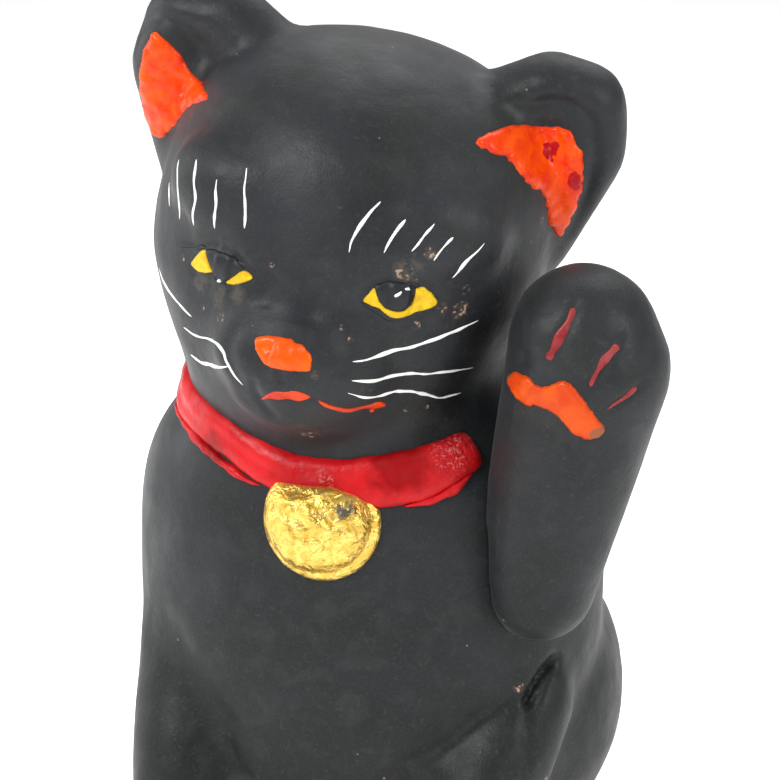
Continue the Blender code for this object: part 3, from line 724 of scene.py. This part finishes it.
class Surface:
    """A material being made: its shader, and the piece's own coordinates in millimetres."""

    def __init__(self, name, roughness, metallic=0.0, coat=0.0, specular=0.5):
        self.material = bpy.data.materials.new(name)
        self.material.use_nodes = True
        self.nodes = self.material.node_tree.nodes
        self.links = self.material.node_tree.links
        self.shader = self.nodes["Principled BSDF"]
        self.set("Roughness", roughness)
        self.set("Metallic", metallic)
        self.set("Coat Weight", coat)
        self.set("Coat Roughness", COAT_ROUGHNESS)
        self.set("Specular IOR Level", specular)
        place = self.nodes.new("ShaderNodeTexCoord")
        self.millimetres = self.nodes.new("ShaderNodeVectorMath")
        self.millimetres.operation = "SCALE"
        self.millimetres.inputs["Scale"].default_value = 1 / MM
        self.links.new(place.outputs["Object"], self.millimetres.inputs[0])

    def set(self, socket, value):
        """Gives one of the shader's sockets a value that is the same all over the surface."""
        self.shader.inputs[socket].default_value = value

    def noise(self, size, detail=2.0, warp=0.0):
        """Cloudy values round a half, their clouds about that size."""
        node = self.nodes.new("ShaderNodeTexNoise")
        node.inputs["Scale"].default_value = 1 / size
        node.inputs["Detail"].default_value = detail
        node.inputs["Distortion"].default_value = warp
        self.links.new(self.millimetres.outputs[0], node.inputs["Vector"])
        return node.outputs["Fac"]

    def height(self):
        """How high each place is above the ground."""
        node = self.nodes.new("ShaderNodeSeparateXYZ")
        self.links.new(self.millimetres.outputs[0], node.inputs[0])
        return node.outputs["Z"]

    def cells(self, size):
        """How far the nearest of some scattered points is, where 1 is the size of their cells."""
        node = self.nodes.new("ShaderNodeTexVoronoi")
        node.inputs["Scale"].default_value = 1 / size
        self.links.new(self.millimetres.outputs[0], node.inputs["Vector"])
        return node.outputs["Distance"]

    def near(self, places):
        """1 at the places, each ((x, y, z), reach), falling to 0 at their reach."""
        total = None
        for place, reach in places:
            node = self.nodes.new("ShaderNodeVectorMath")
            node.operation = "DISTANCE"
            self.links.new(self.millimetres.outputs[0], node.inputs[0])
            node.inputs[1].default_value = place
            share = self.span(node.outputs["Value"], reach, 0)
            total = share if total is None else self.maths("MAXIMUM", total, share)
        return total

    def maths(self, operation, a, b):
        """The result of a sum on two values, each a number or a socket."""
        node = self.nodes.new("ShaderNodeMath")
        node.operation = operation
        for value, socket in zip((a, b), node.inputs):
            if isinstance(value, (int, float)):
                socket.default_value = value
            else:
                self.links.new(value, socket)
        return node.outputs[0]

    def times(self, a, b):
        """Two values multiplied."""
        return self.maths("MULTIPLY", a, b)

    def span(self, value, low, high, to=(0, 1)):
        """The value's run from low to high made one from 0 to 1, or another, and held at its ends."""
        node = self.nodes.new("ShaderNodeMapRange")
        self.links.new(value, node.inputs["Value"])
        for name, number in zip(("From Min", "From Max", "To Min", "To Max"), (low, high, *to)):
            node.inputs[name].default_value = number
        return node.outputs[0]

    def cloudy(self, size, low, high, to=(0, 1), detail=4, warp=0.0):
        """Noise of that size with its run from low to high made one from 0 to 1, or another."""
        return self.span(self.noise(size, detail, warp), low, high, to)

    def mix(self, share, a, b):
        """A colour between two, each three numbers or a socket."""
        node = self.nodes.new("ShaderNodeMix")
        node.data_type = "RGBA"
        self.links.new(share, node.inputs["Factor"])
        for value, socket in zip((a, b), (node.inputs[6], node.inputs[7])):
            if isinstance(value, tuple):
                socket.default_value = (*value, 1)
            else:
                self.links.new(value, socket)
        return node.outputs[2]

    def clouds(self, colour, other, size, start, full, most=1, detail=4, warp=0.0):
        """A colour with clouds of another over it, which start and are full at those noise values."""
        return self.mix(self.cloudy(size, start, full, (0, most), detail, warp), colour, other)

    def finish(self, colour, bumps=(), roughness=None):
        """Joins the colour, the roughness and the bumps, each (height, millimetres), to the shader."""
        self.links.new(colour, self.shader.inputs["Base Color"])
        if roughness is not None:
            self.links.new(roughness, self.shader.inputs["Roughness"])
        last = None
        for height, depth in bumps:
            node = self.nodes.new("ShaderNodeBump")
            node.inputs["Distance"].default_value = depth * MM
            self.links.new(height, node.inputs["Height"])
            if last is not None:
                self.links.new(last, node.inputs["Normal"])
            last = node.outputs["Normal"]
        if last is not None:
            self.links.new(last, self.shader.inputs["Normal"])
        return self.material


def black_clouds(paint):
    """The black itself, in clouds, with painted shade low down and in the crevice by the raised paw."""
    colour = paint.clouds(BLACK_DEEP, BLACK_PALE, 26, 0.3, 0.7)
    colour = paint.clouds(colour, BLACK_GREENISH, 16, 0.5, 0.7, most=0.6, warp=0.5)
    # Painted shade: the black darker towards the bottom.
    low = paint.span(paint.height(), *DARKENING_HEIGHTS, (0, 0.85))
    colour = paint.mix(low, colour, BLACK_LOW_SHADE)
    # Painted shade in the crevice between the cheek and the raised paw.
    shade = paint.span(paint.near(places_of(FACE_SHADES, on_face)), 0.05, 0.7, (0, 0.85))
    return paint.mix(shade, colour, BLACK_CREVICE_SHADE)


def dusted(paint, colour):
    """The colour with soft dust, fine dust and grit on it, and rubbed grey round the eyes."""
    colour = paint.clouds(colour, DUST, 4.5, 0.5, 0.78, most=0.4, detail=6, warp=0.6)
    colour = paint.clouds(colour, FINE_DUST, 0.55, 0.48, 0.8, most=0.3, detail=3)
    colour = paint.clouds(colour, GRIT, 1.1, 0.62, 0.8, most=0.35)
    worn = paint.times(paint.near(places_of(FACE_RUBS, on_face)), paint.cloudy(2.2, 0.35, 0.6))
    return paint.mix(paint.span(worn, 0.1, 0.6, (0, 0.75)), colour, RUBBED_BLACK)


def chipped(paint, colour):
    """The colour with pale specks, stains and chips on it, and how far each place is chipped."""
    speck = paint.times(paint.span(paint.cells(6.5), 0.05, 0.03), paint.cloudy(14, 0.48, 0.6, detail=3))
    colour = paint.mix(paint.times(speck, 0.7), colour, SPECK)
    chips = places_of(FACE_CHIPS, on_face)
    chips += places_of(EAR_CHIPS, on_ear)
    chips += places_of(BODY_CHIPS, from_front)
    near = paint.near(chips)
    stain = paint.times(paint.span(near, 0, 0.6), paint.cloudy(1.6, 0.4, 0.65))
    colour = paint.mix(paint.times(stain, 0.5), colour, STAIN)
    chip = paint.times(paint.span(near, 0.15, 0.5), paint.cloudy(0.8, 0.55, 0.62, detail=3))
    return paint.mix(paint.times(chip, 0.8), colour, CHIPPED_CLAY), chip


def make_black():
    """Matt black paint over clay: soft clouds, dust, pale specks, and brown where it is chipped."""
    paint = Surface("black_paint", 0.5, specular=0.26)
    paint.set("Sheen Weight", 0.09)
    paint.set("Sheen Roughness", 0.35)
    colour, chip = chipped(paint, dusted(paint, black_clouds(paint)))
    rough = paint.cloudy(8, 0.3, 0.7, (0.42, 0.58))
    bumps = ((paint.noise(3.2, 3), 0.14), (paint.noise(0.45, 3), 0.06), (chip, -0.08))
    return paint.finish(colour, bumps, rough)


def make_enamel(name, deep, bright, roughness=0.28, coat=0.04, specular=0.25, size=4.0, dirt=0.25):
    """Thick glossy paint with thinner and thicker places and a little dirt."""
    paint = Surface(name, roughness, coat=coat, specular=specular)
    colour = paint.clouds(deep, bright, size, 0.35, 0.65, detail=3, warp=0.5)
    colour = paint.clouds(colour, ENAMEL_DIRT, 1.2, 0.62, 0.8, most=dirt)
    rough = paint.cloudy(2.4, 0.3, 0.7, (roughness * 0.8, roughness * 1.5), detail=3)
    return paint.finish(colour, ((paint.noise(1.8, 3), 0.1), (paint.noise(0.5, 2), 0.025)), rough)


def make_red():
    """Satin red, deeper at some places, and crinkled at others, with pale painted highlights there."""
    paint = Surface("red_enamel", 0.42, specular=0.2)
    colour = paint.clouds(RED_DEEP, RED_BRIGHT, 9, 0.35, 0.65, detail=3, warp=0.5)
    ragged = paint.cloudy(3, 0.2, 0.8, (-0.3, 0.3), detail=3)
    deep = paint.span(paint.maths("ADD", paint.near(RED_DEEPENED), ragged), 0.1, 0.5, (0, 0.85))
    colour = paint.mix(deep, colour, RED_DARK)
    colour = paint.clouds(colour, RED_DIRT, 1, 0.6, 0.78, most=0.35)
    crinkled = paint.near(RED_CRINKLED_AND_HIGHLIT)
    fold = paint.times(crinkled, paint.noise(1.3, 4, 1.5))
    # Pale pink spots on the crinkles: painted highlight.
    painted_highlight = paint.times(crinkled, paint.cloudy(0.9, 0.53, 0.6, warp=1.2))
    colour = paint.mix(paint.span(painted_highlight, 0.2, 0.5, (0, 0.4)), colour, RED_PAINTED_HIGHLIGHT)
    rough = paint.cloudy(2.4, 0.3, 0.7, (0.3, 0.5), detail=3)
    bumps = ((fold, 0.9), (paint.noise(1.8, 3), 0.16), (paint.noise(0.5, 2), 0.04))
    return paint.finish(colour, bumps, rough)


def make_blotched(name, deep, bright, blotch, places, dull=0.0):
    """Orange enamel with darker blotches at those places."""
    paint = Surface(name, 0.28, coat=0.04, specular=0.2)
    colour = paint.clouds(deep, bright, 3.5, 0.35, 0.65, detail=3, warp=0.4)
    ragged = paint.cloudy(2, 0.2, 0.8, (-0.35, 0.35), detail=2)
    mark = paint.span(paint.maths("ADD", paint.near(places), ragged), 0.38, 0.46)
    colour = paint.mix(mark, colour, blotch)
    colour = paint.clouds(colour, ORANGE_DIRT, 0.9, 0.62, 0.78, most=0.35 + dull)
    rough = paint.cloudy(2.4, 0.3, 0.7, (0.2 + dull, 0.4 + dull), detail=3)
    return paint.finish(colour, ((paint.noise(1.6, 3), 0.16), (paint.noise(0.5, 2), 0.04)), rough)


def make_gold():
    """Crinkled gold paint, rubbed grey at some places."""
    paint = Surface("gold_paint", 0.3, metallic=0.85, coat=0.1)
    colour = paint.clouds(GOLD_DEEP, GOLD_BRIGHT, 2.6, 0.35, 0.65, warp=0.8)
    rubbed = paint.times(paint.near(GOLD_RUBS), paint.cloudy(1.5, 0.35, 0.6, detail=3))
    colour = paint.mix(paint.span(rubbed, 0.1, 0.5), colour, GOLD_RUBBED)
    colour = paint.clouds(colour, GOLD_DIRT, 0.8, 0.6, 0.75, most=0.5)
    rough = paint.cloudy(2.1, 0.3, 0.7, (0.22, 0.42), detail=3)
    return paint.finish(colour, ((paint.noise(2.4, 4, 1), 0.7), (paint.noise(0.7, 2), 0.08)), rough)


def make_white():
    """Thin chalky white, slightly broken."""
    paint = Surface("white_paint", 0.6)
    colour = paint.clouds(WHITE_THIN, WHITE_FULL, 1.4, 0.3, 0.7)
    colour = paint.clouds(colour, WHITE_GAPS, 0.5, 0.6, 0.75, most=0.4, detail=3)
    return paint.finish(colour, ((paint.noise(0.5, 3), 0.06),))


def make_bare_clay():
    """The unpainted clay slab, buff with darker grit and black smudges."""
    paint = Surface("bare_clay", 0.85, specular=0.3)
    colour = paint.clouds(CLAY_DEEP, CLAY_PALE, 12, 0.3, 0.7)
    colour = paint.mix(paint.span(paint.cells(1.7), 0.16, 0.1, (0, 0.6)), colour, CLAY_GRIT)
    colour = paint.clouds(colour, CLAY_SMUDGE, 20, 0.5, 0.62, most=0.8, warp=0.8)
    return paint.finish(colour, ((paint.noise(2.5, 4), 0.25), (paint.noise(0.5, 3), 0.1)))


# The figurine's parts.


def in_face(co):
    """Whether a place is on the front of the face, where the skin is finer."""
    x, y, z = HEAD_INVERSE @ co
    return y < -9 and -36 < z < 16


def in_ear(co):
    """Whether a place is on the front of an ear."""
    x, y, z = HEAD_INVERSE @ co
    return abs(x) > 20 and z > 3 and y < 6


def make_skin(black):
    """Makes the body, head and ears as one surface, with no seams, and returns its search tree."""
    shape = closed_shape(SKIN_NODES)
    for v in shape.verts:
        if v.co.z < BASE_TOP + 1:
            v.co.z = BELOW_GROUND
    bm = fused(shape, SKIN_VOXEL, SKIN_SMOOTHING)
    shrink(bm, SKIN_SHRINK)
    hollow_below(bm)
    split_finer(bm, in_face, smoothing=4)
    split_finer(bm, in_ear, smoothing=2)
    toes = [([(x, z) for z in TOE_HEIGHTS], 0.8, 1.0) for x in TOE_MARKS]
    groups = (
        (on_face, FACE_SWELLS, -1),
        (on_face, FACE_MARKS, 1),
        (on_ear, EAR_MARKS, 1),
        (from_front, BODY_MARKS, 1),
        (from_front, toes, 1),
    )
    sculpt(bm, groups)
    tree = BVHTree.FromBMesh(bm)
    piece("body_skin", bm, black, "black_clay", *SKIN_NODES)
    return tree


def make_raised_foreleg(black):
    """Makes the raised foreleg, its toes and pad softly modelled, and returns its search tree."""
    bm = fused(closed_shape(["raised_foreleg"]), ARM_VOXEL, SKIN_SMOOTHING)
    shrink(bm, ARM_SHRINK)
    sculpt(bm, ((from_front, PAW_SWELLS, -1), (from_front, PAW_MARKS, 1)))
    tree = BVHTree.FromBMesh(bm)
    piece("foreleg_skin", bm, black, "black_clay", "raised_foreleg")
    return tree


def make_tail(black):
    """The tail, curled round the rump."""
    bm = fused(closed_shape(["tail"]), ARM_VOXEL, TAIL_SMOOTHING)
    shrink(bm, TAIL_SHRINK)
    sculpt(bm, ())
    piece("tail_skin", bm, black, "black_clay", "tail")


def round_neck(rows):
    """Rows of (degrees, height, width), with the degrees as lengths round the neck."""
    return [(radians(degrees) * NECK_RADIUS, z, width) for degrees, z, width in rows]


def collar_layout():
    """The layout of the collar's band, flat with round edges and slightly lumpy."""
    rows = evenly(between(round_neck(COLLAR), 6), 0.9)
    columns = 15
    points, heights = [], []
    for i, (s, z, width) in enumerate(rows):
        along = direction(rows, i)
        wave = noise.noise(Vector((s / 9, 2.2, 0)))
        rounding = rounded(min(i / 3, (len(rows) - 1 - i) / 3))
        for share in np.sin(np.linspace(-pi / 2, pi / 2, columns)):
            fray = 0.22 * noise.noise(Vector((s / 2.3, share * 3, 4.4)))
            offset = (width / 2 + 0.3 * wave) * share * (0.5 + 0.5 * rounding) + fray
            points.append((s + along.y * offset, z - along.x * offset))
            band = max(0, 1 - abs(share) ** 3.2) ** 0.6
            lump = 1 + 0.16 * noise.noise(Vector((s / 5, share * 1.5, 1.1)))
            heights.append(max(THINNEST, COLLAR_RISE * band * lump * rounding))
    faces, rim = grid(len(rows), columns)
    return points, faces, rim, heights


def make_collar(tree, red):
    """The red band round the neck, and the thin ridges below it."""
    band = film(collar_layout(), tree, on_neck, sunk=0.5)
    piece("collar_band", band, red, "red_clay", "collar")
    for i, ridge in enumerate(COLLAR_RIDGES, 1):
        layout = ribbon(round_neck(ridge), RIDGE_RISE, ragged=0.25, columns=7, blunt=0.2, seed=4.3 * i)
        piece(f"collar_ridge_{i}", film(layout, tree, on_neck), red, "red_clay")


def bell_top(x):
    """How high the bell's top edge is there."""
    return float(np.interp(x, *zip(*BELL_TOP)))


def bell_height(share, angle, x, z):
    """How far the bell's face stands off the chest there: a lumpy dome inside a thin flange."""
    shifted = (share**2 + 0.012 + 2 * share * 0.075 * cos(angle - radians(125) + pi)) ** 0.5
    dome = max(0, 1 - (shifted / 0.93) ** 2.6) ** 0.5
    rim = max(0, 1 - share**9) ** 0.5
    over_collar = 0.45 * min(1, max(0, (z - BELL_AT[1] - 2) / 3))
    place = Vector((x / 3.1, z / 3.1, 0.7))
    lumps = 0.11 * noise.noise(place) + 0.06 * noise.noise(2.3 * place)
    dents = -0.12 * max(0, noise.noise(place * 1.7 + Vector((5, 5, 5))))
    behind = min(1, max(0, (bell_top(x) - z) / 3)) ** 0.5
    body = dome * (0.6 + 0.4 * behind)
    return BELL_HEIGHT * (max(body, 0.32 * rim, over_collar * rim) * (1 + dents) + lumps * dome)


def bell_layout(rings=30, spokes=96):
    """The layout of the bell's face: rings of points round its middle, cut off at its top edge."""
    points, heights = [BELL_AT], [bell_height(0, 0, *BELL_AT)]
    for ring in range(1, rings + 1):
        share = sin(pi / 2 * ring / rings)
        for spoke in range(spokes):
            angle = tau * spoke / spokes
            wobble = noise.noise(Vector((3 * cos(angle), 3 * sin(angle), 0)))
            radius = BELL_RADIUS * share * (1 + 0.012 * wobble)
            x = BELL_AT[0] + radius * cos(angle)
            z = min(BELL_AT[1] + radius * sin(angle), bell_top(x) + 0.02 * share * sin(angle))
            points.append((x, z))
            heights.append(max(THINNEST, bell_height(share, angle, x, z)))
    faces = [(0, 1 + i, 1 + (i + 1) % spokes) for i in range(spokes)]
    for ring in range(rings - 1):
        for i in range(spokes):
            a, b = 1 + ring * spokes + i, 1 + ring * spokes + (i + 1) % spokes
            faces.append((a, a + spokes, b + spokes, b))
    rim = [1 + (rings - 1) * spokes + i for i in range(spokes)]
    return points, faces, rim, heights


def make_bell(tree, gold):
    """The gold bell, a lumpy round boss whose top laps over the collar."""
    boss = film(bell_layout(), tree, from_front, sunk=0.6)
    piece("bell_boss", boss, gold, "gold_clay", "bell")


def make_strokes(face, paw, white, dark_red, orange):
    """The brows, whiskers, toe strokes and mouth, each laid down with one pull of the brush."""
    for kind, sets, width in (("brow", BROWS, BROW_WIDTH), ("whisker", WHISKERS, WHISKER_WIDTH)):
        for side, strokes in sets.items():
            for i, stroke in enumerate(strokes, 1):
                name = f"{kind}_{side}_{i}"
                spine = [(s, w, width) for s, w in stroke]
                layout = ribbon(spine, WHITE_THICK, ragged=0.4, blunt=0.35, seed=len(name) + 7.3 * i)
                painted(name, layout, face, white, name)
    for i, spine in enumerate(TOE_STROKES, 1):
        name = f"toe_stroke_{i}"
        layout = ribbon(spine, TOE_STROKE_THICK, ragged=0.3, columns=7, seed=3.1 * i)
        painted(name, layout, paw, dark_red, name)
    for i, spine in enumerate(MOUTH_STROKES, 1):
        nodes = ["mouth"] if i == 1 else []
        layout = ribbon(spine, MOUTH_THICK, ragged=0.3, columns=7, seed=5.7 * i)
        painted(f"mouth_{i}", layout, face, orange, *nodes)


def make_eyes(face, yellow, black, white):
    """Each eye: its yellow, the black iris over it, black lid lines and painted shade, and painted
    highlights.
    """
    for side in ("right", "left"):
        for i, outline in enumerate(YELLOW_OUTLINES[side], 1):
            nodes = [f"eye_{side}"] if i == 1 else []
            layout = patch(outline, YELLOW_THICK, spacing=0.22, edge=0.4, ragged=0.14, seed=1.7)
            painted(f"eye_{side}_{i}", layout, face, yellow, *nodes)
        name = f"pupil_{side}"
        outline = IRIS_OUTLINES[side]
        layout = patch(outline, IRIS_THICK, spacing=0.3, edge=1.2, ragged=0.08, lumps=0.1, seed=4.1)
        painted(name, layout, face, black, name)
        # The second lid stroke of each eye is painted shade along the upper lid.
        for i, spine in enumerate(LID_LINES_AND_SHADES[side], 1):
            layout = ribbon(spine, LID_THICK, ragged=0.3, blunt=0.2, seed=2.9 * i)
            painted(f"lid_{side}_{i}", layout, face, black)
        # The glints are white paint as painted highlights.
        for i, spine in enumerate(GLINTS[side], 1):
            layout = ribbon(spine, GLINT_THICK, spacing=0.2, ragged=0.3, blunt=0.3, seed=6.3 * i)
            painted(f"glint_{side}_{i}", layout, face, white)


def make_patches(face, ears, paw, nose, ear, pad):
    """The nose, the ear linings and the raised paw's pad, in thick orange enamel."""
    layout = patch(NOSE_OUTLINE, NOSE_THICK, spacing=0.3, ragged=0.22, lumps=0.5, seed=2.2)
    painted("nose", layout, face, nose, "nose")
    for side, outline in EAR_OUTLINES.items():
        name = f"ear_lining_{side}"
        layout = patch(outline, LINING_THICK, spacing=0.45, edge=0.9, ragged=0.3, lumps=0.6, seed=8.4)
        painted(name, layout, ears, ear, name)
    layout = patch(PAD_OUTLINE, PAD_THICK, spacing=0.4, edge=0.8, ragged=0.3, lumps=0.4, seed=5.5)
    painted("paw_pad", layout, paw, pad, "paw_pad")


def dress_base(clay):
    """The slab below keeps its CAD shape, with a softened edge."""
    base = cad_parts["base_plate"]
    base.data.materials.clear()
    base.data.materials.append(clay)
    bevel = base.modifiers.new("Soften", "BEVEL")
    bevel.width = 0.5 * MM
    bevel.segments = 3
    bevel.angle_limit = radians(50)


# The studio.


def add_light(name, place, energy, size):
    """A large soft square light at a place, turned to the cat's middle."""
    data = bpy.data.lights.new(name, "AREA")
    data.energy = energy
    data.size = size
    light = add_object(name, data)
    light.location = place
    light.rotation_mode = "QUATERNION"
    light.rotation_quaternion = (Vector(LIT_PLACE) - Vector(place)).to_track_quat("-Z", "Y")


def make_floor():
    """A pale floor that shines a little by itself."""
    bm = bmesh.new()
    bmesh.ops.create_grid(bm, x_segments=1, y_segments=1, size=FLOOR_HALF)
    floor = add_object("floor", mesh_of("floor", bm))
    pale = Surface("pale_floor", 0.7, specular=0.2)
    pale.set("Emission Color", (1, 1, 1, 1))
    pale.set("Emission Strength", FLOOR_GLOW)
    colour = pale.clouds(FLOOR_DEEP, FLOOR_PALE, 90, 0.3, 0.7, detail=2)
    floor.data.materials.append(pale.finish(colour))


def make_studio():
    """The floor, a white room and soft lights."""
    make_floor()
    world = bpy.data.worlds.new("white_room")
    world.use_nodes = True
    background = world.node_tree.nodes["Background"]
    background.inputs["Color"].default_value = (1, 1, 1, 1)
    background.inputs["Strength"].default_value = ROOM_GLOW
    bpy.context.scene.world = world
    for name, (place, energy, size) in LIGHTS.items():
        add_light(name, place, energy, size)


def make_camera():
    """The camera, a little to the cat's left and above it."""
    azimuth, elevation = radians(CAMERA_AZIMUTH), radians(CAMERA_ELEVATION)
    out = Vector((sin(azimuth) * cos(elevation), -cos(azimuth) * cos(elevation), sin(elevation)))
    data = bpy.data.cameras.new("camera")
    data.sensor_width = 36
    data.lens = CAMERA_LENS
    data.clip_start = 0.01
    camera = add_object("camera", data)
    camera.location = Vector(CAMERA_TARGET) + CAMERA_DISTANCE * out
    camera.rotation_mode = "QUATERNION"
    camera.rotation_quaternion = (-out).to_track_quat("-Z", "Y")
    bpy.context.scene.camera = camera
    bpy.context.scene.view_settings.view_transform = "Standard"


def make_figurine():
    """Every piece of the cat."""
    black = make_black()
    skin = make_skin(black)
    face = (skin, on_face)
    paw = (make_raised_foreleg(black), from_front)
    make_tail(black)
    make_collar(skin, make_red())
    make_bell(skin, make_gold())
    white = (make_white(), "white")
    orange = (make_enamel("mouth_enamel", *MOUTH_ORANGES, size=3), "orange")
    dark_red = (make_enamel("dark_red_enamel", *TOE_REDS, roughness=0.35), "dark_red")
    make_strokes(face, paw, white, dark_red, orange)
    yellow = (make_enamel("yellow_enamel", *EYE_YELLOWS, size=2), "yellow")
    dull = make_enamel("iris_black", *IRIS_BLACKS, roughness=0.42, coat=0, specular=0.3, dirt=0)
    make_eyes(face, yellow, (dull, "pupil_black"), white)
    nose = (make_blotched("nose_enamel", *NOSE_ORANGES, NOSE_BLOTCHES), "orange")
    ear = (make_blotched("ear_enamel", *EAR_ORANGES, EAR_BLOTCHES), "orange")
    pad = (make_blotched("pad_enamel", *PAD_ORANGES, PAD_BLOTCHES, dull=0.1), "orange")
    make_patches(face, (skin, on_ear), paw, nose, ear, pad)
    dress_base(make_bare_clay())


HEAD_INVERSE = head_frame().inverted()
noise.seed_set(NOISE_SEED)

make_studio()
make_camera()
make_figurine()
